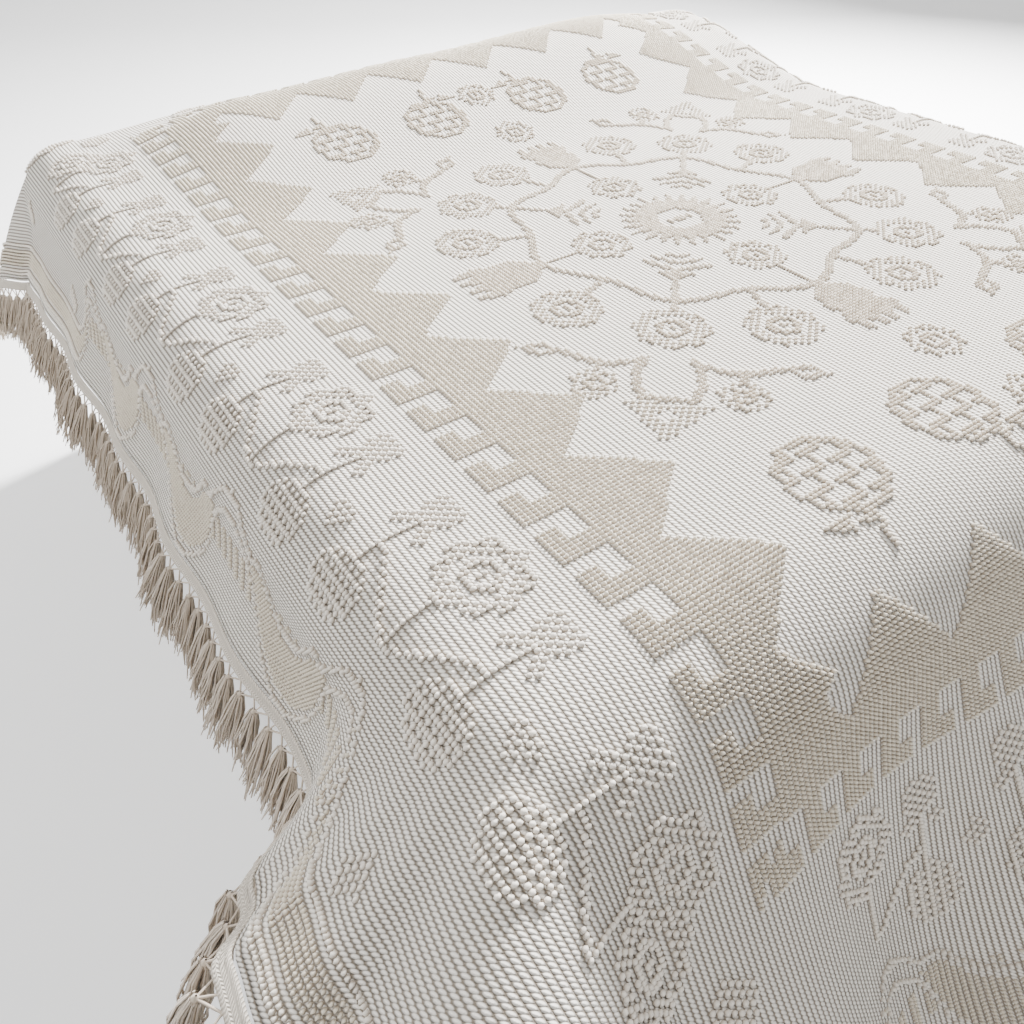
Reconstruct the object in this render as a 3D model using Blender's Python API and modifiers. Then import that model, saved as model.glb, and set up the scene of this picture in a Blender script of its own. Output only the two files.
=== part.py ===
"""Popcorn-stitch bedspread with a braid and tassel fringe, draped over a plain bed.

Metres, +Z up. The origin is on the floor under the middle of the bed, +Y runs to the
head end and +X to the bed's right. The cloth is one rectangle, and drape() maps a
point of the flat cloth to its place on the bed: level on top, raised over the
pillows, bent over the edges, and hanging outside them in soft flared folds.
"""
import math

import bmesh
import bpy
from mathutils import Vector

# Bed
BED_WIDTH = 1.71
BED_LENGTH = 1.90
BED_TOP = 0.74
BASE_HEIGHT = 0.38
BASE_INSET = 0.015
BASE_ROUND = 0.012
MATTRESS_ROUND = 0.160
GAP = 0.0003

# Pillows under the cloth
PILLOW_RISE = 0.09
PILLOW_FOOT, PILLOW_CREST, PILLOW_BACK = 0.16, 0.62, 0.90
PILLOW_HALF_WIDTH = 0.58
PILLOW_START, PILLOW_END = 0.40, 0.74
PILLOW_CLEAR = 0.012

# Cloth
CLOTH_WIDTH = 2.15
CLOTH_LENGTH = 2.66
CLOTH_SHIFT = -0.19
CLOTH_THICK = 0.004
CLOTH_LIFT = 0.006
BEND_SIDE = 0.11
BEND_END = 0.16
CURVE_SIDE = -2.3
CURVE_END = -0.6
RIPPLE_TAPER = 0.14

# Braid and fringe, measured outwards from the hem in the plane of the cloth
SEAM = 0.003
BRAID_WIDTH = 0.018
BRAID_THICK = 0.003
HEADING = 0.014
TASSEL = 0.085
FRINGE_THICK = 0.003
TASSEL_GAP = 0.16
TASSEL_OUT = 0.45
TASSEL_FALL = 0.89

# Where the bend over each edge starts
EDGE_X = BED_WIDTH / 2 + CLOTH_LIFT - BEND_SIDE
EDGE_Y = BED_LENGTH / 2 + CLOTH_LIFT - BEND_END

# Share of the rise across the bed. Columns: place across (m), share
PILLOW_ACROSS = ((-EDGE_X, 0.1), (-0.42, 0.75), (0.0, 0.95), (0.45, 1.15), (EDGE_X, 0.9))

# How far the hang leans out. Columns: place along the edge (m), lean (degrees)
LEAN_LEFT = ((-EDGE_Y, 46), (-0.73, 34), (-0.61, 6), (-0.45, 7), (0.30, 7), (EDGE_Y, 9))
LEAN_RIGHT = ((-EDGE_Y, 24), (-0.58, 9), (0.20, 7), (EDGE_Y, 9))
LEAN_FOOT = ((-EDGE_X, 30), (-0.35, 22), (0.10, 19), (0.45, 20), (EDGE_X, 28))
LEAN_HEAD = ((-EDGE_X, 12), (0.0, 8), (EDGE_X, 12))

# Round the corners. Columns: angle from the side to the end (degrees), lean (degrees)
CORNER_FOOT_LEFT = ((0, 46), (20, 60), (50, 76), (90, 30))
CORNER_FOOT_RIGHT = ((0, 24), (42, 66), (90, 28))
CORNER_HEAD_LEFT = ((0, 9), (48, 44), (90, 12))
CORNER_HEAD_RIGHT = ((0, 9), (44, 46), (90, 12))

# How the hang curves below the bend at a corner, where less than 0 flares it out.
# Columns: angle from the side to the end (degrees), curve (radians a metre)
CURVE_CORNER = ((0, CURVE_SIDE), (24, 0.5), (60, 0.8), (90, CURVE_END))

# Soft folds of the hang. Columns: length of a fold (m), start (m), lean (degrees)
FOLDS_SIDE = ((0.26, 0.05, 1.2), (0.61, 0.22, 0.8))
FOLDS_END = ((0.43, 0.12, 4.0), (0.71, 0.30, 3.5))

# Colours
OFF_WHITE = (0.81, 0.79, 0.75)
CREAM = (0.64, 0.58, 0.49)
GREIGE = (0.52, 0.47, 0.41)
LINEN = (0.72, 0.70, 0.66)
PILLOW_WHITE = (0.80, 0.79, 0.77)
BASE_GREY = (0.45, 0.43, 0.40)


def smooth(amount):
    """Ease from 0 to 1."""
    amount = min(max(amount, 0.0), 1.0)
    return amount * amount * (3 - 2 * amount)


def read_table(table, place):
    """Value of a two-column table at a place, eased from row to row."""
    for (start, low), (end, high) in zip(table, table[1:]):
        if place <= end:
            return low + (high - low) * smooth((place - start) / (end - start))
    return table[-1][1]


def folds(table, place, limit):
    """Lean that the soft folds add along an edge, fading out before its ends."""
    fade = smooth((limit - abs(place)) / RIPPLE_TAPER)
    return fade * sum(
        lean * math.sin(2 * math.pi * (place - start) / length)
        for length, start, lean in table
    )


def rise(x, y):
    """Height of the cloth over the pillows."""
    across = read_table(PILLOW_ACROSS, x)
    up = smooth((y - PILLOW_FOOT) / (PILLOW_CREST - PILLOW_FOOT))
    down = smooth((PILLOW_BACK - y) / (PILLOW_BACK - PILLOW_CREST))
    return PILLOW_RISE * across * min(up, down)


def lean_at(flat_x, flat_y, over_x, over_y):
    """Lean of the hang at a point of the flat cloth, in radians."""
    left = flat_x < 0
    foot = flat_y < 0
    if over_x > 0 and over_y > 0:
        angle = math.degrees(math.atan2(over_y, over_x))
        if foot:
            table = CORNER_FOOT_LEFT if left else CORNER_FOOT_RIGHT
        else:
            table = CORNER_HEAD_LEFT if left else CORNER_HEAD_RIGHT
        lean = read_table(table, angle)
    elif over_x > 0:
        lean = read_table(LEAN_LEFT if left else LEAN_RIGHT, flat_y)
        lean += folds(FOLDS_SIDE, flat_y, EDGE_Y)
    else:
        lean = read_table(LEAN_FOOT if foot else LEAN_HEAD, flat_x)
        lean += folds(FOLDS_END, flat_x, EDGE_X)
    return math.radians(lean)


def curve_at(over_x, over_y):
    """Curve of the hang below the bend, in radians a metre."""
    curve = read_table(CURVE_CORNER, math.degrees(math.atan2(over_y, over_x)))
    return curve if abs(curve) > 0.02 else 0.02


def drape(flat_x, flat_y):
    """Place of a point of the flat cloth on the bed."""
    over_x = max(abs(flat_x) - EDGE_X, 0.0)
    over_y = max(abs(flat_y) - EDGE_Y, 0.0)
    base_x = min(max(flat_x, -EDGE_X), EDGE_X)
    base_y = min(max(flat_y, -EDGE_Y), EDGE_Y)
    top = BED_TOP + CLOTH_LIFT + rise(base_x, base_y)
    reach = math.hypot(over_x, over_y)
    if reach == 0:
        return Vector((flat_x, flat_y, top))
    lean = lean_at(flat_x, flat_y, over_x, over_y)
    turn = math.pi / 2 - lean
    bend = BEND_SIDE + (BEND_END - BEND_SIDE) * (over_y / reach) ** 2
    bent = min(reach / bend, turn)
    out = bend * math.sin(bent)
    down = bend * (1 - math.cos(bent))
    free = reach - bend * turn
    if free > 0:
        curve = curve_at(over_x, over_y)
        out += (math.sin(turn + curve * free) - math.sin(turn)) / curve
        down += (math.cos(turn) - math.cos(turn + curve * free)) / curve
    away_x = math.copysign(over_x, flat_x) / reach
    away_y = math.copysign(over_y, flat_y) / reach
    return Vector((base_x + out * away_x, base_y + out * away_y, top - down))


def spread(start, end, count):
    """Evenly spaced values after start, up to and including end."""
    return [start + (end - start) * k / count for k in range(1, count + 1)]


def stations(edge, bend, low_end, low_count, high_end, high_count, top_count):
    """Flat positions of the cloth's rows from one hem to the other."""
    turn = bend * math.pi / 2
    low = [-edge] + spread(-edge, -edge - turn, 5)
    low += spread(-edge - turn, low_end, low_count)
    high = spread(edge, edge + turn, 5) + spread(edge + turn, high_end, high_count)
    return low[::-1] + spread(-edge, edge, top_count) + high


HEM_X = CLOTH_WIDTH / 2
HEM_FOOT = CLOTH_SHIFT - CLOTH_LENGTH / 2
HEM_HEAD = CLOTH_SHIFT + CLOTH_LENGTH / 2
COLUMNS = stations(EDGE_X, BEND_SIDE, -HEM_X, 4, HEM_X, 4, 16)
ROWS = stations(EDGE_Y, BEND_END, HEM_FOOT, 7, HEM_HEAD, 2, 18)


def hem_path():
    """Stations along the hem: left side, foot and right side, each with its way out."""
    left = [((-HEM_X, y), (-1, 0)) for y in reversed(ROWS[1:])]
    foot = [((x, HEM_FOOT), (0, -1)) for x in COLUMNS[1:-1]]
    right = [((HEM_X, y), (1, 0)) for y in ROWS[1:]]
    corner_left = ((-HEM_X, HEM_FOOT), (-1, -1))
    corner_right = ((HEM_X, HEM_FOOT), (1, -1))
    return left + [corner_left] + foot + [corner_right] + right


HEM = hem_path()


def beyond_hem(station, offset):
    """Place of a point outside the hem at a station of the path."""
    (x, y), (out_x, out_y) = HEM[station]
    return drape(x + offset * out_x, y + offset * out_y)


def between(station, share, offset):
    """The same, a share of the way to the next station."""
    near = beyond_hem(station, offset)
    if share == 0:
        return near
    return near.lerp(beyond_hem(station + 1, offset), share)


def new_material(name, colour, roughness):
    """Plain fabric material."""
    material = bpy.data.materials.new(name)
    material.use_nodes = True
    shader = material.node_tree.nodes["Principled BSDF"]
    shader.inputs["Base Color"].default_value = (*colour, 1)
    shader.inputs["Roughness"].default_value = roughness
    shader.inputs["Metallic"].default_value = 0
    return material


def new_object(name, mesh_data, material):
    """Write a bmesh to a new object in the parts collection."""
    bmesh.ops.recalc_face_normals(mesh_data, faces=mesh_data.faces)
    mesh = bpy.data.meshes.new(name)
    mesh_data.to_mesh(mesh)
    mesh_data.free()
    mesh.materials.append(material)
    made = bpy.data.objects.new(name, mesh)
    PARTS.objects.link(made)
    return made


def new_sheet(name, columns, rows, place, thickness, material, keep=None):
    """Grid moved to its draped shape and given a thickness."""
    grid = bmesh.new()
    across = len(columns) - 1
    along = len(rows) - 1
    bmesh.ops.create_grid(grid, x_segments=across, y_segments=along, size=1)
    if keep:
        dropped = [face for face in grid.faces if not keep(face, across, along)]
        bmesh.ops.delete(grid, geom=dropped, context="FACES")
    for vertex in grid.verts:
        column = round((vertex.co.x + 1) / 2 * across)
        row = round((vertex.co.y + 1) / 2 * along)
        vertex.co = place(columns[column], rows[row])
    made = new_object(name, grid, material)
    solid = made.modifiers.new("Thickness", "SOLIDIFY")
    solid.thickness = thickness
    solid.offset = 0
    return made


def new_box(name, size, centre, radius, segments, material):
    """Box with rounded edges."""
    box = bmesh.new()
    bmesh.ops.create_cube(box, size=1)
    for vertex in box.verts:
        vertex.co = Vector(c * s for c, s in zip(vertex.co, size))
    made = new_object(name, box, material)
    made.location = centre
    bevel = made.modifiers.new("Rounded edges", "BEVEL")
    bevel.width = radius
    bevel.segments = segments
    return made


def make_bed():
    """Plain base and mattress."""
    base_size = (BED_WIDTH - 2 * BASE_INSET, BED_LENGTH - 2 * BASE_INSET, BASE_HEIGHT - GAP)
    new_box("bed_base", base_size, (0, 0, base_size[2] / 2), BASE_ROUND, 2,
            new_material("base_cover", BASE_GREY, 0.9))
    height = BED_TOP - BASE_HEIGHT
    new_box("mattress", (BED_WIDTH, BED_LENGTH, height), (0, 0, BASE_HEIGHT + height / 2),
            MATTRESS_ROUND, 4, new_material("mattress_cover", LINEN, 0.9))


def make_pillows():
    """Plain padded form of the pillows under the cloth."""
    block = bmesh.new()
    bmesh.ops.create_grid(block, x_segments=10, y_segments=7, size=1)
    middle = (PILLOW_START + PILLOW_END) / 2
    half_length = (PILLOW_END - PILLOW_START) / 2
    for vertex in block.verts:
        x = vertex.co.x * PILLOW_HALF_WIDTH
        y = middle + vertex.co.y * half_length
        vertex.co = (x, y, BED_TOP + GAP)
    raised = bmesh.ops.extrude_face_region(block, geom=block.faces[:], use_keep_orig=True)
    for item in raised["geom"]:
        if isinstance(item, bmesh.types.BMVert):
            item.co.z = BED_TOP + rise(item.co.x, item.co.y) - PILLOW_CLEAR
    new_object("pillows", block, new_material("pillow_cover", PILLOW_WHITE, 0.85))


def make_bedspread():
    """Draped cloth."""
    new_sheet("bedspread", COLUMNS, ROWS, drape, CLOTH_THICK,
              new_material("bedspread_cotton", OFF_WHITE, 0.95))


def make_braid():
    """Narrow strip sewn along the hem."""
    inner = SEAM
    outer = SEAM + BRAID_WIDTH
    new_sheet("fringe_braid", range(len(HEM)), (inner, outer), beyond_hem, BRAID_THICK,
              new_material("braid_cotton", CREAM, 0.9))


def make_fringe():
    """Comb of tassels below the braid, which lean out as the hang does."""
    start = 2 * SEAM + BRAID_WIDTH
    rows = ((start, 0), (start + HEADING, 0), (start + HEADING, TASSEL))
    columns = []
    for station in range(len(HEM) - 1):
        columns += [(station, 0), (station, TASSEL_GAP), (station, 1 - TASSEL_GAP)]
    columns.append((len(HEM) - 1, 0))

    def place(column, row):
        offset, length = row
        out_x, out_y = HEM[column[0]][1]
        way = Vector((out_x * TASSEL_OUT, out_y * TASSEL_OUT, -TASSEL_FALL))
        return between(*column, offset) + way * length

    def is_cloth(face, across, along):
        middle = face.calc_center_median()
        in_heading = middle.y < 0
        column = math.floor((middle.x + 1) / 2 * across)
        return in_heading or column % 3 == 1

    new_sheet("fringe", columns, rows, place, FRINGE_THICK,
              new_material("tassel_yarn", GREIGE, 0.95), is_cloth)


for old in list(bpy.data.objects):
    bpy.data.objects.remove(old, do_unlink=True)
PARTS = bpy.data.collections.new("bedspread_on_bed")
bpy.context.scene.collection.children.link(PARTS)
make_bed()
make_pillows()
make_bedspread()
make_braid()
make_fringe()
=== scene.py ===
"""Looks of the popcorn-stitch bedspread on its plain bed.

The cloth is a thin sheet on the folds of its solid. Its raised loops, the braid and
the tassels are made here from a chart that is worked out by formulas in cells of the
weave: 9 columns or 12 rows make one unit of the chart.
"""
import math

import bpy
import numpy as np
from mathutils import Matrix


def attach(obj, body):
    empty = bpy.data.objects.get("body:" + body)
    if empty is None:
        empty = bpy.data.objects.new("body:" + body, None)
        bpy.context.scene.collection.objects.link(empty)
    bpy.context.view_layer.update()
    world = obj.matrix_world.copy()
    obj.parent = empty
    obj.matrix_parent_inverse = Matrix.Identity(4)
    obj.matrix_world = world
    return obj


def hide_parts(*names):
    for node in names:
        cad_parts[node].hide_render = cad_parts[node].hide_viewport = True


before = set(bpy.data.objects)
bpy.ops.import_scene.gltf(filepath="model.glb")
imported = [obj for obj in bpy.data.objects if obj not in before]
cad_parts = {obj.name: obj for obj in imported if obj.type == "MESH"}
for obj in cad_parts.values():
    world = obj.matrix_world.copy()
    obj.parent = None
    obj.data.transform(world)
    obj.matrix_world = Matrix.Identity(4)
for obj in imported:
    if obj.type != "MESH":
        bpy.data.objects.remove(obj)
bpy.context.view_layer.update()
RANDOM = np.random.default_rng(11)

# The bed and the cloth, as in the part
BED_WIDTH = 1.71
BED_LENGTH = 1.90
BED_TOP = 0.74
PILLOW_RISE = 0.09
PILLOW_FOOT, PILLOW_CREST, PILLOW_BACK = 0.16, 0.62, 0.90
CLOTH_WIDTH = 2.15
CLOTH_LENGTH = 2.66
CLOTH_SHIFT = -0.19
CLOTH_THICK = 0.0034
CLOTH_LIFT = 0.006
BEND_SIDE = 0.11
BEND_END = 0.16
CURVE_SIDE = -2.3
CURVE_END = -0.6
RIPPLE_TAPER = 0.14
EDGE_X = BED_WIDTH / 2 + CLOTH_LIFT - BEND_SIDE
EDGE_Y = BED_LENGTH / 2 + CLOTH_LIFT - BEND_END
PILLOW_ACROSS = ((-EDGE_X, 0.1), (-0.42, 0.75), (0.0, 0.95), (0.45, 1.15), (EDGE_X, 0.9))
LEAN_LEFT = ((-EDGE_Y, 46), (-0.73, 34), (-0.61, 6), (-0.45, 7), (0.30, 7), (EDGE_Y, 9))
LEAN_RIGHT = ((-EDGE_Y, 24), (-0.58, 9), (0.20, 7), (EDGE_Y, 9))
LEAN_FOOT = ((-EDGE_X, 30), (-0.35, 22), (0.10, 19), (0.45, 20), (EDGE_X, 28))
LEAN_HEAD = ((-EDGE_X, 12), (0.0, 8), (EDGE_X, 12))
CORNER_FOOT_LEFT = ((0, 46), (20, 60), (50, 76), (90, 30))
CORNER_FOOT_RIGHT = ((0, 24), (42, 66), (90, 28))
CORNER_HEAD_LEFT = ((0, 9), (48, 44), (90, 12))
CORNER_HEAD_RIGHT = ((0, 9), (44, 46), (90, 12))
CURVE_CORNER = ((0, CURVE_SIDE), (24, 0.5), (60, 0.8), (90, CURVE_END))
FOLDS_SIDE = ((0.26, 0.05, 1.2), (0.61, 0.22, 0.8))
FOLDS_END = ((0.43, 0.12, 4.0), (0.71, 0.30, 3.5))

# The weave and the chart
COLUMN = 0.00688
ROW = 0.005375
PER_U, PER_V = 9, 12
# One chart unit across is shorter than one along by this share
SQUEEZE = 0.96
FIELD_U, FIELD_V = 10.41, 14.03

# The figures, in chart units
PERIOD_SIDE, PERIOD_END = 5.0, 5.2
KEY_DEPTH = 0.89
TOOTH_SHORT, TOOTH_LONG = 1.72, 3.18
TWIG_ANGLES = (21, 45, 69)
FLOWER_RING = 5.6
LATTICE_RADIUS = 0.96
BUD_FLOWER_ALONG, BUD_FLOWER_ACROSS = 7.9, 1.4
HEM_X = CLOTH_WIDTH / 2
HEM_FOOT = CLOTH_SHIFT - CLOTH_LENGTH / 2
HEM_HEAD = CLOTH_SHIFT + CLOTH_LENGTH / 2
HEM_U = HEM_X / COLUMN / PER_U
HEM_V = CLOTH_LENGTH / 2 / ROW / PER_V

# Trim
SEAM = 0.003
BRAID_WIDTH = 0.018
HEADING = 0.014
TASSEL = 0.092
TASSEL_OUT = 0.45
TASSEL_FALL = 0.89
TASSEL_STEP = 0.033
STRANDS = 40


def smooth(amount):
    amount = np.clip(amount, 0, 1)
    return amount * amount * (3 - 2 * amount)


def read_table(table, place):
    place = np.asarray(place, float)
    value = np.full(place.shape, float(table[-1][1]))
    for (start, low), (end, high) in reversed(list(zip(table, table[1:]))):
        share = smooth((place - start) / (end - start))
        value = np.where(place <= end, low + (high - low) * share, value)
    return value


def folds(table, place, limit):
    fade = smooth((limit - np.abs(place)) / RIPPLE_TAPER)
    waves = sum(lean * np.sin(2 * np.pi * (place - start) / length) for length, start, lean in table)
    return fade * waves


def rise(x, y):
    up = smooth((y - PILLOW_FOOT) / (PILLOW_CREST - PILLOW_FOOT))
    down = smooth((PILLOW_BACK - y) / (PILLOW_BACK - PILLOW_CREST))
    return PILLOW_RISE * read_table(PILLOW_ACROSS, x) * np.minimum(up, down)


def lean_at(x, y, over_x, over_y):
    left = x < 0
    foot = y < 0
    angle = np.degrees(np.arctan2(over_y, over_x))
    foot_corners = read_table(CORNER_FOOT_LEFT, angle), read_table(CORNER_FOOT_RIGHT, angle)
    head_corners = read_table(CORNER_HEAD_LEFT, angle), read_table(CORNER_HEAD_RIGHT, angle)
    corner = np.where(foot, np.where(left, *foot_corners), np.where(left, *head_corners))
    side = np.where(left, read_table(LEAN_LEFT, y), read_table(LEAN_RIGHT, y))
    side = side + folds(FOLDS_SIDE, y, EDGE_Y)
    end = np.where(foot, read_table(LEAN_FOOT, x), read_table(LEAN_HEAD, x))
    end = end + folds(FOLDS_END, x, EDGE_X)
    lean = np.where((over_x > 0) & (over_y > 0), corner, np.where(over_x > 0, side, end))
    return np.radians(lean)


def drape(x, y):
    """Places of points of the flat cloth on the bed."""
    x = np.asarray(x, float)
    y = np.asarray(y, float)
    over_x = np.maximum(np.abs(x) - EDGE_X, 0)
    over_y = np.maximum(np.abs(y) - EDGE_Y, 0)
    base_x = np.clip(x, -EDGE_X, EDGE_X)
    base_y = np.clip(y, -EDGE_Y, EDGE_Y)
    top = BED_TOP + CLOTH_LIFT + rise(base_x, base_y)
    reach = np.hypot(over_x, over_y)
    safe = np.maximum(reach, 1e-9)
    lean = lean_at(x, y, over_x, over_y)
    turn = np.pi / 2 - lean
    bend = BEND_SIDE + (BEND_END - BEND_SIDE) * (over_y / safe) ** 2
    bent = np.minimum(reach / bend, turn)
    free = np.maximum(reach - bend * turn, 0)
    curve = read_table(CURVE_CORNER, np.degrees(np.arctan2(over_y, over_x)))
    curve = np.where(np.abs(curve) > 0.02, curve, 0.02)
    out = bend * np.sin(bent) + (np.sin(turn + curve * free) - np.sin(turn)) / curve
    down = bend * (1 - np.cos(bent)) + (np.cos(turn) - np.cos(turn + curve * free)) / curve
    return np.stack((
        base_x + out * np.copysign(over_x, x) / safe,
        base_y + out * np.copysign(over_y, y) / safe,
        top - down,
    ), axis=-1)


def unit(vectors):
    return vectors / np.maximum(np.linalg.norm(vectors, axis=-1, keepdims=True), 1e-9)


def axes_at(x, y):
    """Place on the cloth, and its directions across, along and out."""
    step = 0.002
    place = drape(x, y)
    across = unit(drape(x + step, y) - drape(x - step, y))
    along = unit(drape(x, y + step) - drape(x, y - step))
    return place, across, along, unit(np.cross(across, along))


# Chart

COLUMNS = np.arange(-int(HEM_X / COLUMN - 0.6), int(HEM_X / COLUMN - 0.6) + 1)
ROWS = np.arange(-int(CLOTH_LENGTH / 2 / ROW - 0.6), int(CLOTH_LENGTH / 2 / ROW - 0.6) + 1)
GRID_I, GRID_J = np.meshgrid(COLUMNS, ROWS)
AU = np.abs(GRID_I) / PER_U
AV = np.abs(GRID_J) / PER_V
CHECKER = (GRID_I + GRID_J) % 2 == 0
# Along the diagonal of each quarter and across it
DIAGONAL = (AU * SQUEEZE + AV) / math.sqrt(2), np.abs(AU * SQUEEZE - AV) / math.sqrt(2)


def away(u, v):
    return np.hypot((AU - u) * SQUEEZE, AV - v)


def flower(u, v, radius, petals):
    """Round scalloped flower of separate loops, with a ring and a middle."""
    far = away(u, v)
    angle = np.arctan2(AV - v, (AU - u) * SQUEEZE)
    edge = radius * (0.88 + 0.16 * np.abs(np.cos(petals / 2 * angle)))
    outer = (far < edge) & (far > 0.60 * radius) & CHECKER
    rim = (far < edge) & (far > edge - 0.10)
    inner = np.abs(far - 0.36 * radius) < 0.075
    return outer | rim & (GRID_I % 2 == 0) | inner | (far < 0.12 * radius)


def lattice(u, v, radius):
    """Round flower of short double rows set like brickwork."""
    far = away(u, v)
    angle = np.arctan2(AV - v, (AU - u) * SQUEEZE)
    edge = radius * (0.93 + 0.09 * np.abs(np.cos(5 * angle)))
    rows = (GRID_J % 5 < 2) & ((GRID_I + 3 * (GRID_J // 5 % 2)) % 6 < 4)
    posts = (GRID_I + 3 * (GRID_J // 5 % 2)) % 6 == 4
    rim = np.abs(far - edge + 0.05) < 0.08
    return (far < edge) & (rows | posts) | rim


def berry(u, v, radius):
    far = np.hypot((AU - u) * SQUEEZE, AV - v)
    return (far < radius) & CHECKER


def cluster(u, v, radius=0.2):
    far = np.abs(AU - u) * SQUEEZE + np.abs(AV - v)
    return (far < radius) & CHECKER


def stroke(half, *points):
    """Cells within half a width of a broken line."""
    found = np.zeros(AU.shape, bool)
    x, y = AU * SQUEEZE, AV
    for (u0, v0), (u1, v1) in zip(points, points[1:]):
        run_x, run_y = (u1 - u0) * SQUEEZE, v1 - v0
        share = ((x - u0 * SQUEEZE) * run_x + (y - v0) * run_y) / (run_x ** 2 + run_y ** 2)
        share = np.clip(share, 0, 1)
        found |= np.hypot(x - u0 * SQUEEZE - share * run_x, y - v0 - share * run_y) < half
    return found


def wedge(tip, left, right):
    """Cells inside a triangle."""
    x, y = AU * SQUEEZE, AV
    inside = np.ones(AU.shape, bool)
    for (u0, v0), (u1, v1) in ((tip, left), (left, right), (right, tip)):
        inside &= ((u1 - u0) * SQUEEZE * (y - v0) - (v1 - v0) * (x - u0 * SQUEEZE)) >= 0
    return inside


def key_fret():
    """Stepped key edge, solid band and teeth that point inwards."""
    depth_u = FIELD_U - AU
    depth_v = FIELD_V - AV
    on_side = depth_u < depth_v
    depth = np.where(on_side, depth_u, depth_v)
    place = np.where(on_side, AV, AU)
    step = np.where(on_side, 2.4, 2.6)
    start = np.where(on_side, 0.0, 1.3)
    phase = np.where(on_side, GRID_J / PER_V, GRID_I / PER_U) % 1.0
    key = np.where(phase < 0.34, depth < KEY_DEPTH, np.where(phase < 0.67, depth < 0.44, False))
    tooth = np.abs((place - start + step / 2) % step - step / 2) / (step / 2)
    reach = TOOTH_SHORT + (TOOTH_LONG - TOOTH_SHORT) * (1 - tooth)
    solid = (depth > KEY_DEPTH) & (depth < reach)
    return (depth > 0) & (key | solid)


def border():
    """Wave band with its ladder, and its outlines, outside the key."""
    out_u = AU - FIELD_U
    out_v = AV - FIELD_V
    on_side = out_u / (HEM_U - FIELD_U) > out_v / (HEM_V - FIELD_V)
    out = np.where(on_side, out_u, out_v)
    place = np.where(on_side, AV, AU)
    period = np.where(on_side, PERIOD_SIDE, PERIOD_END)
    hem = np.where(on_side, HEM_U - FIELD_U, HEM_V - FIELD_V)
    centre = 4.92 + 1.03 * np.cos(2 * np.pi * place / period)
    to_corner = smooth((place / period - 1.50) / 0.30)
    centre = centre + (hem - 0.80 - centre) * to_corner
    off = np.abs(out - centre)
    half = 0.64 * smooth((np.cos(2 * np.pi * place / period) + 0.45) / 0.8)
    half = half + (0.25 - half) * to_corner
    dense = (off < half) & (out > 0)
    outline = (np.abs(off - half - 0.24) < 0.06) & (out > 0)
    rung = (np.floor(place * PER_V) % 4 < 2) & on_side | (np.floor(place * PER_U) % 4 < 2) & ~on_side
    ladder = (out > 4.80) & (out < 5.55) & (off > half + 0.40) & rung & (to_corner < 0.4)
    return dense | ladder, outline


def single_loops():
    """Loose loops of the border, the end flowers and the middle of the field."""
    found = np.zeros(AU.shape, bool)
    # Border flowers stand between the pairs of berries
    for place in (2.5, 7.5, 12.5):
        found |= flower(FIELD_U + 1.1, place, 0.78, 8)
        found |= stroke(0.07, (FIELD_U + 1.85, place), (FIELD_U + 2.9, place))
    for place in (2.6, 7.8):
        found |= flower(place, FIELD_V + 1.1, 0.78, 8)
        found |= stroke(0.07, (place, FIELD_V + 1.85), (place, FIELD_V + 2.9))
    # Berries, stems, arms and cups on both sides of the middle of each repeat
    for middle in (0.0, 5.0, 10.0):
        for sign in (-1, 1):
            def at(e, s):
                return FIELD_U + e, middle + sign * s
            if middle == 0 and sign < 0:
                continue
            found |= repeat_parts(at)
    for middle in (0.0, 5.2):
        for sign in (-1, 1):
            def at(e, s):
                return middle + sign * s, FIELD_V + e
            if middle == 0 and sign < 0:
                continue
            found |= repeat_parts(at)
    # Corners
    found |= flower(FIELD_U + 2.0, FIELD_V - 0.6, 0.8, 8)
    found |= cluster(FIELD_U + 5.1, FIELD_V - 4.4, 0.42)
    found |= flower(FIELD_U + 2.3, FIELD_V + 2.2, 0.9, 8)
    found |= cluster(FIELD_U + 4.3, FIELD_V + 0.6, 0.42)
    found |= berry(FIELD_U + 0.9, FIELD_V + 0.9, 0.45)
    # Big flowers at both ends of the field, with a stem and a leaf
    for u, turn in ((5.25, 1), (2.0, -1)):
        found |= lattice(u, 8.9, LATTICE_RADIUS)
        found |= stroke(0.06, (u + 0.35 * turn, 9.6), (u + 0.2 * turn, 10.0), (u + 0.35 * turn, 10.5))
        found |= stroke(0.06, (u + 0.2 * turn, 10.0), (u + 0.55 * turn, 9.9))
        found |= wedge((u + 1.25 * turn, 9.75), (u + 0.75 * turn, 10.05), (u + 0.62 * turn, 9.75))
        found |= wedge((u + 1.25 * turn, 9.75), (u + 0.62 * turn, 9.75), (u + 0.75 * turn, 10.05))
    found |= flower(0.0, 7.4, 0.62, 8)
    found |= flower(0.0, 9.6, 0.62, 8)
    found |= medallion()
    return found


def repeat_parts(at):
    """One half of a border repeat: berry, stem and cup in a row, and an arm to the flower's stem."""
    middle = 1.0
    found = berry(*at(0.9, middle), 0.40)
    found |= stroke(0.06, at(1.3, middle), at(2.5, middle))
    found |= cluster(*at(1.45, middle - 0.3), 0.24) | cluster(*at(1.45, middle + 0.3), 0.24)
    arm = [at(2.0 + 0.9 * float(smooth((s - middle) / 1.5)), s) for s in np.linspace(middle, 2.5, 8)]
    found |= stroke(0.06, *arm)
    found |= cluster(*at(2.2, 0.0), 0.34)
    u, v = at(3.0, middle)
    far = np.hypot((AU - u) * SQUEEZE, (AV - v) * 0.9)
    return found | (far < 0.56) & ((GRID_I % 2 == 0) | CHECKER)


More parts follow.
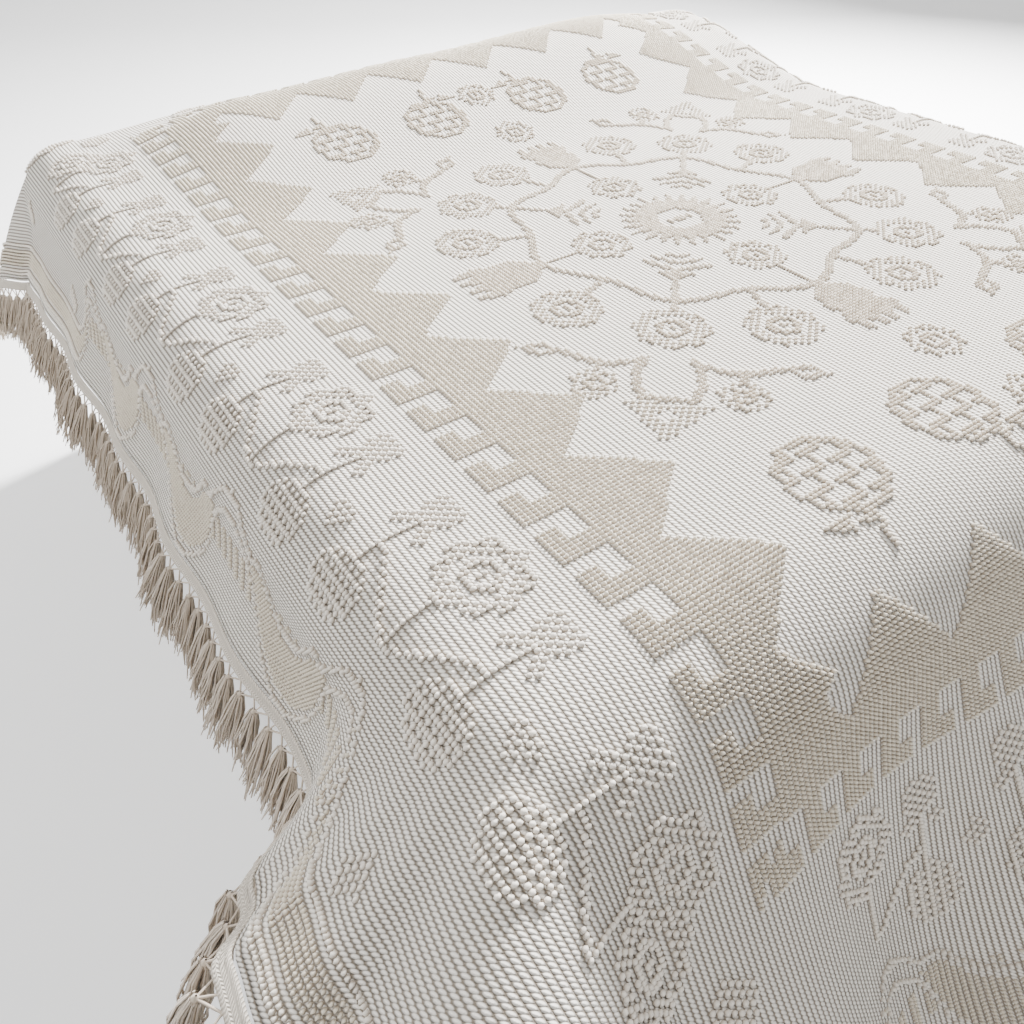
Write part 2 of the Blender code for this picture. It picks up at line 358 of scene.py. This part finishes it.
def medallion():
    """Loose loops in the middle of the field, mirrored in both axes."""
    found = (away(0, 0) < 0.16) | (away(0.3, 0) < 0.09)
    # Four flowers near the sun, and a ring of them at even angles beyond the vine
    found |= flower(2.7, 0.0, 0.74, 8) | flower(0.0, 2.6, 0.74, 8)
    for degrees in TWIG_ANGLES:
        turn = math.radians(degrees)
        found |= flower(FLOWER_RING * math.cos(turn) / SQUEEZE, FLOWER_RING * math.sin(turn), 0.82, 8)
    found |= stroke(0.07, (3.5, 0), (4.6, 0)) | stroke(0.07, (0, 3.3), (0, 4.2))
    # Beside and below the lyre, even on both sides of the diagonal
    along, across = DIAGONAL
    for side in (-1, 1):
        u = (BUD_FLOWER_ALONG - BUD_FLOWER_ACROSS * side) / math.sqrt(2) / SQUEEZE
        v = (BUD_FLOWER_ALONG + BUD_FLOWER_ACROSS * side) / math.sqrt(2)
        found |= flower(u, v, 0.50, 6)
    bud = (along > 8.35) & (across < 0.72 * (9.55 - along)) & (np.abs(along - 8.75) + across > 0.16)
    return found | bud & CHECKER


def solid_figures():
    """Closely packed figures in the middle of the field."""
    x, y = AU * SQUEEZE, AV
    along, across = DIAGONAL
    far = away(0, 0)
    angle = np.arctan2(y, x)
    teeth = np.abs((angle / np.pi * 12 + 0.5) % 1 - 0.5) * 2
    edge = 1.10 + 0.52 * np.clip(1 - teeth * 1.15, 0, 1)
    hollow = np.maximum(np.abs(x) * 0.9 + np.abs(y) * 0.45, np.abs(y)) < 0.56
    found = (far < edge) & ~hollow
    # Nested chevrons and a leaf on the diagonals. Columns: tip, thickness, half width
    for tip, thick, wide in ((2.32, 0.16, 0.30), (2.66, 0.15, 0.62), (3.06, 0.20, 0.82)):
        found |= (across < wide) & (along + 0.5 * across < tip) & (along + 0.5 * across > tip - thick)
    found |= (along + 0.9 * across < 3.5) & (along > 3.05)
    # Solid pomegranates with pointed crowns
    for u, v, turned in ((5.6, 0.0, False), (0.0, 5.3, True)):
        a, b = (AV - v, (AU - u) * SQUEEZE) if turned else ((AU - u) * SQUEEZE, AV - v)
        crown = (a > 0.3) & (a < 1.15) & (np.abs(b) < 0.78 - 0.3 * np.abs(a - 0.6)) & \
            (np.abs((np.abs(b) * 2.6) % 1 - 0.5) < 0.5 - 0.55 * np.clip(a - 0.62, 0, 1))
        found |= ((a / 0.80) ** 2 + (b / 0.66) ** 2 < 1) | crown
        found |= (a < -0.6) & (a > -1.15) & (np.abs(b) < (a + 1.15) * 0.5)
    # Waved ring of vine, and a straight twig to each flower beyond it
    vine = 4.18 + 0.22 * np.cos(8 * angle)
    found |= np.abs(far - vine) < 0.10
    for degrees in TWIG_ANGLES:
        off = far * np.sin(angle - math.radians(degrees))
        found |= (np.abs(off) < 0.09) & (far > vine) & (far < 4.85)
    found |= (across < 0.09) & (along > 3.45) & (along < 4.3)
    # Waved bracket across the diagonal with lozenge ends, its twigs and the lyre
    bar = 6.95 - 0.20 * np.cos(2 * np.pi * across / 2.6)
    found |= (np.abs(along - bar) < 0.10) & (across > 0.45) & (across < 2.2)
    lozenge = np.abs(along - 6.85) / 0.55 + np.abs(across - 2.62) / 1.0
    found |= (lozenge * 0.55 < 0.28) & (lozenge * 0.55 > 0.11)
    found |= (np.abs(across - 1.4) < 0.08) & (along > 7.0) & (along < 7.5)
    leg = 0.45 + 0.18 * np.sin(np.pi * (along - 6.75) / 1.5)
    found |= (np.abs(across - leg) < 0.10) & (along > 6.75) & (along < 8.25)
    found |= (np.abs(along - 8.2) < 0.09) & (across < 0.55)
    return found


DENSE, OUTLINE = border()
FRET = key_fret()
OUTLINE = OUTLINE & ~DENSE & ~FRET
IN_FIELD = (AU < FIELD_U) & (AV < FIELD_V)
FIGURES = solid_figures() & IN_FIELD & ~FRET
SINGLE = single_loops() & ~OUTLINE & ~DENSE & ~FRET & ~FIGURES


# Geometry

def new_mesh(name, verts, faces, material, smooth_shade=True):
    """Object from arrays of places and of faces that all have as many corners."""
    verts = np.asarray(verts, np.float32).reshape(-1, 3)
    faces = np.asarray(faces, np.int32)
    corners = faces.shape[1]
    mesh = bpy.data.meshes.new(name)
    mesh.vertices.add(len(verts))
    mesh.vertices.foreach_set("co", verts.ravel())
    mesh.loops.add(faces.size)
    mesh.loops.foreach_set("vertex_index", faces.ravel())
    mesh.polygons.add(len(faces))
    mesh.polygons.foreach_set("loop_start", np.arange(0, faces.size, corners, dtype=np.int32))
    mesh.polygons.foreach_set("use_smooth", np.full(len(faces), smooth_shade))
    mesh.update(calc_edges=True)
    mesh.validate()
    mesh.materials.append(material)
    made = bpy.data.objects.new(name, mesh)
    bpy.context.scene.collection.objects.link(made)
    return made


def add_uv(made, uv, name="Cells"):
    """UV map from one pair of values a vertex."""
    mesh = made.data
    index = np.empty(len(mesh.loops), np.int32)
    mesh.loops.foreach_get("vertex_index", index)
    layer = mesh.uv_layers.new(name=name)
    layer.data.foreach_set("uv", np.asarray(uv, np.float32)[index].ravel())


def grid_faces(rows, columns):
    first = (np.arange(rows - 1)[:, None] * columns + np.arange(columns - 1)).ravel()
    return np.stack((first, first + 1, first + 1 + columns, first + columns), axis=-1)


def even(values, count):
    """Evenly spaced stops that include the given ones."""
    stops = np.linspace(values[0], values[-1], count)
    return np.unique(np.round(np.concatenate((stops, values[1:-1])), 6))


def make_cloth(material):
    across = even((-HEM_X, -EDGE_X, EDGE_X, HEM_X), 132)
    along = even((HEM_FOOT, -EDGE_Y, EDGE_Y, HEM_HEAD), 156)
    x, y = np.meshgrid(across, along)
    place = drape(x, y)
    made = new_mesh("cloth", place.reshape(-1, 3), grid_faces(len(along), len(across)), material)
    add_uv(made, np.stack((x / COLUMN, (y - CLOTH_SHIFT) / ROW), axis=-1).reshape(-1, 2))
    solid = made.modifiers.new("Thickness", "SOLIDIFY")
    solid.thickness = CLOTH_THICK
    solid.offset = 0
    return made


def make_loops(name, mask, size, height, material, jitter=0.0, rounder=False):
    """One small dome a cell: six points round its foot and three on its shoulder, or
    where it is to be rounder six on its waist and one at its top."""
    i = GRID_I[mask]
    j = GRID_J[mask]
    count = len(i)
    x = i * COLUMN + RANDOM.normal(0, jitter, count)
    y = CLOTH_SHIFT + j * ROW + RANDOM.normal(0, jitter, count)
    place, across, along, out = axes_at(x, y)
    place = place + out * (CLOTH_THICK / 2 - 0.0004)
    grow = RANDOM.uniform(0.93, 1.08, count)[:, None]
    turn = RANDOM.uniform(0, 2 * np.pi, count)[:, None]

    def ring(number, start, wide, high):
        for k in range(number):
            angle = turn + start + 2 * np.pi * k / number
            flat = across * np.cos(angle) * size[0] + along * np.sin(angle) * size[1]
            yield place + (flat * wide + out * height * high) * grow

    if rounder:
        points = [*ring(6, 0, 0.80, 0), *ring(6, 0.3, 0.96, 0.55), place + out * height * grow]
        rise_values = [0.0] * 6 + [0.6] * 6 + [1.0]
        pattern = []
        for k in range(6):
            after = (k + 1) % 6
            pattern += [(k, after, 6 + k), (after, 6 + after, 6 + k), (6 + k, 6 + after, 12)]
    else:
        points = [*ring(6, 0, 1.0, 0), *ring(3, np.pi / 6, 0.58, 1.0)]
        rise_values = [0.0] * 6 + [1.0] * 3
        pattern = []
        for k in range(3):
            near, far, nearer = 2 * k, 2 * k + 1, (2 * k + 2) % 6
            top, after = 6 + k, 6 + (k + 1) % 3
            pattern += [(near, far, top), (far, nearer, after), (far, after, top)]
        pattern.append((6, 7, 8))
    verts = np.stack(points, axis=1).reshape(-1, 3)
    faces = (np.arange(count)[:, None, None] * len(points) + np.array(pattern)).reshape(-1, 3)
    made = new_mesh(name, verts, faces, material)
    # The Rise map gives each point's height on its loop, for the painted shade at the loop's foot.
    values = np.tile(np.array(rise_values), count)
    add_uv(made, np.stack((values, values), axis=-1), "Rise")
    return made


def hem_places(offset, step):
    """Even stations beyond the hem: left side, foot and right side."""
    side = HEM_X + offset
    foot = HEM_FOOT - offset
    corners = ((-side, HEM_HEAD), (-side, foot), (side, foot), (side, HEM_HEAD))
    x, y = [], []
    for (x0, y0), (x1, y1) in zip(corners, corners[1:]):
        count = max(int(round(math.hypot(x1 - x0, y1 - y0) / step)), 1)
        share = np.arange(count) / count
        x += list(x0 + (x1 - x0) * share)
        y += list(y0 + (y1 - y0) * share)
    return np.array(x + [corners[-1][0]]), np.array(y + [corners[-1][1]])


def make_braid(material):
    """Smooth strip with three ribs along it."""
    count = 900
    ribs = 9
    places = []
    for k in range(ribs):
        offset = SEAM + BRAID_WIDTH * k / (ribs - 1)
        x1, y1 = hem_places(offset, 0.01)
        kept = np.linspace(0, len(x1) - 1, count)
        x = np.interp(kept, np.arange(len(x1)), x1)
        y = np.interp(kept, np.arange(len(y1)), y1)
        place, across, along, out = axes_at(x, y)
        raised = 0.0012 * abs(math.sin(math.pi * k / (ribs - 1) * 3)) + 0.0006
        places.append(place + out * raised)
    verts = np.stack(places, axis=1).reshape(-1, 3)
    made = new_mesh("braid", verts, grid_faces(count, ribs), material)
    along_uv = np.repeat(np.arange(count), ribs) * 7.6 / count
    add_uv(made, np.stack((np.tile(np.arange(ribs), count) / 8.0, along_uv / 0.004), axis=-1))
    solid = made.modifiers.new("Thickness", "SOLIDIFY")
    solid.thickness = 0.0024
    solid.offset = 0
    return made


def tubes(paths, radii, sides):
    """Verts and faces of many tubes: paths (n, m, 3), radii (n, m)."""
    number, stops = paths.shape[:2]
    run = unit(np.gradient(paths, axis=1))
    guide = np.array((0.31, 0.95, 0.05))
    side = unit(np.cross(run, guide))
    other = np.cross(run, side)
    rings = []
    for k in range(sides):
        angle = 2 * np.pi * k / sides
        rings.append(paths + (side * np.cos(angle) + other * np.sin(angle)) * radii[..., None])
    verts = np.stack(rings, axis=2).reshape(-1, 3)
    base = (np.arange(number)[:, None] * stops + np.arange(stops - 1)).ravel()[:, None] * sides
    k = np.arange(sides)
    after = (k + 1) % sides
    faces = np.stack((base + k, base + after, base + after + sides, base + k + sides), axis=-1)
    return verts, faces.reshape(-1, 4)


def hem_ways(offset, step):
    """Which way the fringe leans out at each station, turned smoothly at the corners."""
    x, y = hem_places(offset, step)
    side = np.clip((np.abs(x) - HEM_X + 0.10) / 0.10, 0, 1) * np.sign(x)
    foot = -np.clip((HEM_FOOT + 0.10 - y) / 0.10, 0, 1)
    flat = unit(np.stack((side, foot, np.zeros(len(x))), axis=-1))
    return flat * TASSEL_OUT + np.array((0, 0, -TASSEL_FALL))


def make_tassels(yarn):
    """Tassels of wavy strands, each tied just under the braid."""
    offset = 2 * SEAM + BRAID_WIDTH + HEADING
    x, y = hem_places(offset, TASSEL_STEP)
    number = len(x)
    place = drape(x, y)
    way = unit(hem_ways(offset, TASSEL_STEP) + RANDOM.normal(0, 0.06, (number, 3)))
    side = unit(np.cross(way, (0.0, 0.0, 1.0)))
    depth = np.cross(side, way)
    lengths = TASSEL * RANDOM.uniform(0.90, 1.06, number)
    stops = np.array((0.0, 0.25, 0.65, 1.0))
    strand_angle = RANDOM.uniform(0, 2 * np.pi, (number, STRANDS, 1))
    strand_far = np.sqrt(RANDOM.uniform(0.02, 1, (number, STRANDS, 1)))
    wave_a = RANDOM.uniform(0, 2 * np.pi, (number, STRANDS, 1))
    wave_b = RANDOM.uniform(0, 2 * np.pi, (number, STRANDS, 1))
    length = lengths[:, None, None] * RANDOM.uniform(0.74, 1.05, (number, STRANDS, 1))
    spread = 0.0040 + 0.0130 * smooth((stops + 0.18) / 0.70)
    wobble = 0.0040 * stops
    wide = strand_far * spread * np.cos(strand_angle) + wobble * np.sin(11 * stops + wave_a)
    deep = strand_far * spread * np.sin(strand_angle) * 0.75 + wobble * np.sin(9 * stops + wave_b)
    paths = place[:, None, None] + way[:, None, None] * (length * stops)[..., None]
    paths = paths + side[:, None, None] * wide[..., None] + depth[:, None, None] * deep[..., None]
    paths[..., 2] -= 0.10 * length * stops ** 2
    radii = np.broadcast_to(np.array((0.0014, 0.0019, 0.0019, 0.0010)), paths.shape[:3])
    radii = radii * RANDOM.uniform(0.75, 1.1, (number, STRANDS, 1))
    verts, faces = tubes(paths.reshape(-1, len(stops), 3), radii.reshape(-1, len(stops)), 3)
    return new_mesh("tassels", verts, faces, yarn)


def make_netting(yarn):
    """Knotted cords between the braid and the tassels."""
    top_x, top_y = hem_places(SEAM + BRAID_WIDTH - 0.001, TASSEL_STEP)
    low_x, low_y = hem_places(2 * SEAM + BRAID_WIDTH + HEADING, TASSEL_STEP)
    count = min(len(top_x), len(low_x))
    top = drape(top_x, top_y)[:count]
    low = drape(low_x, low_y)[:count]
    paths = []
    for shift in (-1, 0, 1):
        neighbour = np.roll(top, shift, axis=0)
        neighbour = neighbour * 0.55 + top * 0.45
        if shift:
            neighbour[0 if shift > 0 else -1] = top[0 if shift > 0 else -1]
        stops = np.linspace(0, 1, 4)[None, :, None]
        paths.append(neighbour[:, None] * (1 - stops) + low[:, None] * stops)
    paths = np.concatenate(paths)
    verts, faces = tubes(paths, np.full(paths.shape[:2], 0.0012), 4)
    # A knot at the head of each tassel
    ball_stops = np.linspace(0, 1, 5)
    way = hem_ways(2 * SEAM + BRAID_WIDTH + HEADING, TASSEL_STEP)[:count]
    knots = low[:, None] + way[:, None] * (ball_stops[None, :, None] * 0.013 - 0.004)
    knot_radii = np.broadcast_to(np.array((0.001, 0.0038, 0.0046, 0.004, 0.003)), knots.shape[:2])
    more, extra = tubes(knots, knot_radii, 7)
    all_faces = np.concatenate((faces, extra + len(verts)))
    return new_mesh("netting", np.concatenate((verts, more)), all_faces, yarn)


# Materials

def new_material(name):
    material = bpy.data.materials.new(name)
    material.use_nodes = True
    nodes = material.node_tree.nodes
    return material, nodes, material.node_tree.links, nodes["Principled BSDF"]


def math_node(nodes, links, operation, first, second=None, third=None):
    node = nodes.new("ShaderNodeMath")
    node.operation = operation
    for slot, value in enumerate((first, second, third)):
        if value is None:
            continue
        if isinstance(value, (int, float)):
            node.inputs[slot].default_value = value
        else:
            links.new(value, node.inputs[slot])
    return node.outputs[0]


def noise(nodes, links, vector, scale, detail=3.0):
    node = nodes.new("ShaderNodeTexNoise")
    node.inputs["Scale"].default_value = scale
    node.inputs["Detail"].default_value = detail
    if vector is not None:
        links.new(vector, node.inputs["Vector"])
    return node.outputs["Fac"]


def mix_colours(nodes, links, factor, first, second):
    node = nodes.new("ShaderNodeMix")
    node.data_type = "RGBA"
    links.new(factor, node.inputs[0])
    for slot, value in ((6, first), (7, second)):
        if isinstance(value, tuple):
            node.inputs[slot].default_value = (*value, 1)
        else:
            links.new(value, node.inputs[slot])
    return node.outputs[2]


def ground_weave():
    """Off-white ribs of slanted stitches round small recesses, which are darkened with painted shade."""
    material, nodes, links, shader = new_material("bedspread_ground")
    uv = nodes.new("ShaderNodeUVMap")
    uv.uv_map = "Cells"
    split = nodes.new("ShaderNodeSeparateXYZ")
    links.new(uv.outputs["UV"], split.inputs[0])
    column, row = split.outputs[0], split.outputs[1]
    whole = math_node(nodes, links, "FLOOR", math_node(nodes, links, "ADD", column, 0.5))
    across = math_node(nodes, links, "SUBTRACT", column, whole)
    slant = math_node(nodes, links, "MULTIPLY", across, 1.0)
    shifted = math_node(nodes, links, "ADD", math_node(nodes, links, "MULTIPLY", whole, 0.5), slant)
    row_here = math_node(nodes, links, "ADD", row, shifted)
    row_whole = math_node(nodes, links, "FLOOR", math_node(nodes, links, "ADD", row_here, 0.5))
    along = math_node(nodes, links, "SUBTRACT", row_here, row_whole)
    wide = math_node(nodes, links, "POWER", math_node(nodes, links, "DIVIDE", across, 0.44), 2)
    tall = math_node(nodes, links, "POWER", math_node(nodes, links, "DIVIDE", along, 0.60), 2)
    far = math_node(nodes, links, "SQRT", math_node(nodes, links, "ADD", wide, tall))
    ease = nodes.new("ShaderNodeMapRange")
    ease.interpolation_type = "SMOOTHSTEP"
    ease.inputs["From Min"].default_value = 1.08
    ease.inputs["From Max"].default_value = 0.62
    links.new(far, ease.inputs["Value"])
    squared = math_node(nodes, links, "MULTIPLY", far, far)
    dome = math_node(nodes, links, "SUBTRACT", 1.0, math_node(nodes, links, "MULTIPLY", squared, 0.75))
    thread = ease.outputs["Result"]
    # The dark colour is painted shade in the recesses between the stitches; the light one is the thread.
    base = mix_colours(nodes, links, thread, (0.26, 0.215, 0.165), (0.93, 0.885, 0.81))
    geometry = nodes.new("ShaderNodeTexCoord")
    blotch = noise(nodes, links, geometry.outputs["Object"], 5.0)
    amount = math_node(nodes, links, "MULTIPLY", blotch, 0.16)
    colour = mix_colours(nodes, links, amount, base, (0.66, 0.58, 0.48))
    links.new(colour, shader.inputs["Base Color"])
    shader.inputs["Roughness"].default_value = 0.95
    shader.inputs["Specular IOR Level"].default_value = 0.2
    shader.inputs["Sheen Weight"].default_value = 0.15
    bump = nodes.new("ShaderNodeBump")
    bump.inputs["Distance"].default_value = 0.0030
    bump.inputs["Strength"].default_value = 1.0
    fibres = noise(nodes, links, uv.outputs["UV"], 3.0, 2.0)
    height = math_node(nodes, links, "ADD", dome, math_node(nodes, links, "MULTIPLY", fibres, 0.2))
    links.new(height, bump.inputs["Height"])
    links.new(bump.outputs["Normal"], shader.inputs["Normal"])
    return material


def braid_weave():
    """Two slanted cords side by side, as in a rope braid, with painted shade in the grooves between them.
    """
    material, nodes, links, shader = new_material("braid_yarn")
    uv = nodes.new("ShaderNodeUVMap")
    uv.uv_map = "Cells"
    split = nodes.new("ShaderNodeSeparateXYZ")
    links.new(uv.outputs["UV"], split.inputs[0])
    off = math_node(nodes, links, "ABSOLUTE", math_node(nodes, links, "SUBTRACT", split.outputs[0], 0.5))
    turn = math_node(nodes, links, "ADD", split.outputs[1], math_node(nodes, links, "MULTIPLY", off, 3.2))
    wave = math_node(nodes, links, "SINE", math_node(nodes, links, "MULTIPLY", turn, 2 * math.pi))
    high = math_node(nodes, links, "MULTIPLY_ADD", wave, 0.5, 0.5)
    # Painted shade: the cords are darker where they dip into the grooves.
    colour = mix_colours(nodes, links, high, (0.50, 0.445, 0.37), (0.80, 0.735, 0.645))
    links.new(colour, shader.inputs["Base Color"])
    shader.inputs["Roughness"].default_value = 0.95
    shader.inputs["Specular IOR Level"].default_value = 0.2
    bump = nodes.new("ShaderNodeBump")
    bump.inputs["Distance"].default_value = 0.0012
    links.new(high, bump.inputs["Height"])
    links.new(bump.outputs["Normal"], shader.inputs["Normal"])
    return material


def yarn(name, light, dark, scale, depth, root=None, roughness=0.95):
    """Soft yarn with fine streaks; where a root colour is given, painted shade darkens the foot of each
    loop.
    """
    material, nodes, links, shader = new_material(name)
    place = nodes.new("ShaderNodeTexCoord").outputs["Object"]
    streak = noise(nodes, links, place, scale)
    colour = mix_colours(nodes, links, streak, dark, light)
    # Painted shade: the colour runs to the root colour towards the foot of each loop, read from the Rise
    # map.
    if root:
        uv = nodes.new("ShaderNodeUVMap")
        uv.uv_map = "Rise"
        ease = nodes.new("ShaderNodeMapRange")
        ease.inputs["From Min"].default_value = 0.05
        ease.inputs["From Max"].default_value = 0.85
        ease.inputs["To Min"].default_value = 1.0
        ease.inputs["To Max"].default_value = 0.0
        parts = nodes.new("ShaderNodeSeparateXYZ")
        links.new(uv.outputs["UV"], parts.inputs[0])
        links.new(parts.outputs[0], ease.inputs["Value"])
        colour = mix_colours(nodes, links, ease.outputs["Result"], colour, root)
    links.new(colour, shader.inputs["Base Color"])
    shader.inputs["Roughness"].default_value = roughness
    shader.inputs["Specular IOR Level"].default_value = 0.2
    shader.inputs["Sheen Weight"].default_value = 0.2
    bump = nodes.new("ShaderNodeBump")
    bump.inputs["Distance"].default_value = depth
    bump.inputs["Strength"].default_value = 0.6
    links.new(noise(nodes, links, place, scale * 2.5), bump.inputs["Height"])
    links.new(bump.outputs["Normal"], shader.inputs["Normal"])
    return material


GROUND = ground_weave()
# The last colour of each loop yarn is painted shade at the foot of its loops.
ECRU = yarn("ecru_loops", (0.82, 0.75, 0.62), (0.68, 0.61, 0.49), 260.0, 0.0006, (0.27, 0.21, 0.15))
BEIGE = yarn("beige_loops", (0.82, 0.74, 0.62), (0.68, 0.60, 0.49), 260.0, 0.0006, (0.28, 0.22, 0.16))
WHITE = yarn("white_loops", (0.90, 0.845, 0.76), (0.79, 0.73, 0.64), 260.0, 0.0006, (0.30, 0.24, 0.18))
BRAID = braid_weave()
TASSEL_YARN = yarn("tassel_strands", (0.70, 0.605, 0.50), (0.42, 0.35, 0.275), 180.0, 0.0005)
BASE_CLOTH = yarn("base_upholstery", (0.50, 0.47, 0.43), (0.38, 0.355, 0.32), 300.0, 0.0008)
SHEETING = yarn("mattress_sheeting", (0.78, 0.76, 0.72), (0.68, 0.66, 0.62), 240.0, 0.0004)
PILLOW_CLOTH = yarn("pillow_cotton", (0.84, 0.83, 0.81), (0.75, 0.74, 0.71), 240.0, 0.0004)

for node, cover in (("bed_base", BASE_CLOTH), ("mattress", SHEETING), ("pillows", PILLOW_CLOTH)):
    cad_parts[node].material_slots[0].material = cover

cloth = make_cloth(GROUND)
dense_size = (0.00295, 0.00232)
loops = [
    make_loops("key_loops_left", FRET & (GRID_I < 0), dense_size, 0.0042, ECRU),
    make_loops("key_loops_right", FRET & (GRID_I >= 0), dense_size, 0.0042, ECRU),
    make_loops("wave_loops", DENSE, dense_size, 0.0040, ECRU),
    make_loops("vine_loops", FIGURES, (0.0031, 0.00245), 0.0042, BEIGE),
    make_loops("figure_loops", SINGLE & IN_FIELD, (0.0032, 0.00262), 0.0046, BEIGE, 0.0002, True),
    make_loops("outline_loops", OUTLINE, (0.0034, 0.0027), 0.0050, WHITE, 0.0002),
    make_loops("border_loops", SINGLE & ~IN_FIELD, (0.0034, 0.00285), 0.0052, WHITE, 0.0002, True),
]
braid = make_braid(BRAID)
tassels = make_tassels(TASSEL_YARN)
netting = make_netting(TASSEL_YARN)

for piece in [cloth, *loops, braid, tassels, netting]:
    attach(piece, "root")
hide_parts("bedspread")
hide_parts("fringe_braid")
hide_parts("fringe")

# Floor, backdrop, light and camera

stage_material, _, _, stage_shader = new_material("stage_paper")
stage_shader.inputs["Base Color"].default_value = (0.97, 0.97, 0.97, 1)
stage_shader.inputs["Roughness"].default_value = 0.9
stage_shader.inputs["Emission Color"].default_value = (1, 1, 1, 1)
stage_shader.inputs["Emission Strength"].default_value = 0.22
sweep = np.array([(-9, 0), (5.0, 0), (6.0, 0.15), (6.8, 0.7), (7.1, 1.6), (7.1, 7.0)])
side_places = np.array((-9.0, 9.0))
stage_verts = np.array([(x, y, z) for y, z in sweep for x in side_places])
STAGE_TURN = Matrix.Rotation(math.radians(-34), 4, "Z")
stage_verts = stage_verts @ np.array(STAGE_TURN.to_3x3()).T
floor = new_mesh("floor_and_backdrop", stage_verts, grid_faces(len(sweep), 2), stage_material)

world = bpy.data.worlds.new("studio")
world.use_nodes = True
world.node_tree.nodes["Background"].inputs["Color"].default_value = (1, 1, 1, 1)
world.node_tree.nodes["Background"].inputs["Strength"].default_value = 0.50
bpy.context.scene.world = world


def area_light(name, place, target, size, power):
    light = bpy.data.lights.new(name, "AREA")
    light.shape = "DISK"
    light.size = size
    light.energy = power
    lamp = bpy.data.objects.new(name, light)
    lamp.location = place
    aim = Matrix.Identity(4)
    away_from = np.array(place, float) - np.array(target, float)
    z = away_from / np.linalg.norm(away_from)
    x = np.cross((0, 0, 1), z)
    x = x / np.linalg.norm(x)
    y = np.cross(z, x)
    for axis, vector in enumerate((x, y, z)):
        for part in range(3):
            aim[part][axis] = vector[part]
    for part in range(3):
        aim[part][3] = place[part]
    lamp.matrix_world = aim
    bpy.context.scene.collection.objects.link(lamp)
    return lamp


area_light("key_light", (3.4, 1.6, 3.1), (-0.2, -0.2, 0.6), 0.9, 1800)
area_light("side_light", (-2.6, 2.2, 4.2), (-0.4, -0.1, 0.6), 1.2, 100)
area_light("front_light", (-1.7, -0.5, 4.6), (-0.6, -0.6, 0.6), 1.2, 110)

camera_data = bpy.data.cameras.new("camera")
camera_data.sensor_width = 36
camera_data.lens = 28.42
camera_data.clip_start = 0.05
camera = bpy.data.objects.new("camera", camera_data)
YAW, PITCH, ROLL = math.radians(55.73), math.radians(42.81), math.radians(-0.89)
ahead = np.array((math.cos(YAW) * math.cos(PITCH), math.sin(YAW) * math.cos(PITCH), -math.sin(PITCH)))
right = np.array((math.sin(YAW), -math.cos(YAW), 0.0))
above = np.cross(right, ahead)
turned_right = right * math.cos(ROLL) + above * math.sin(ROLL)
turned_above = above * math.cos(ROLL) - right * math.sin(ROLL)
pose = Matrix.Identity(4)
for axis, vector in enumerate((turned_right, turned_above, -ahead)):
    for part in range(3):
        pose[part][axis] = vector[part]
for part, value in enumerate((-0.9800, -1.1178, BED_TOP + 0.5682)):
    pose[part][3] = value
camera.matrix_world = pose
bpy.context.scene.collection.objects.link(camera)
bpy.context.scene.camera = camera
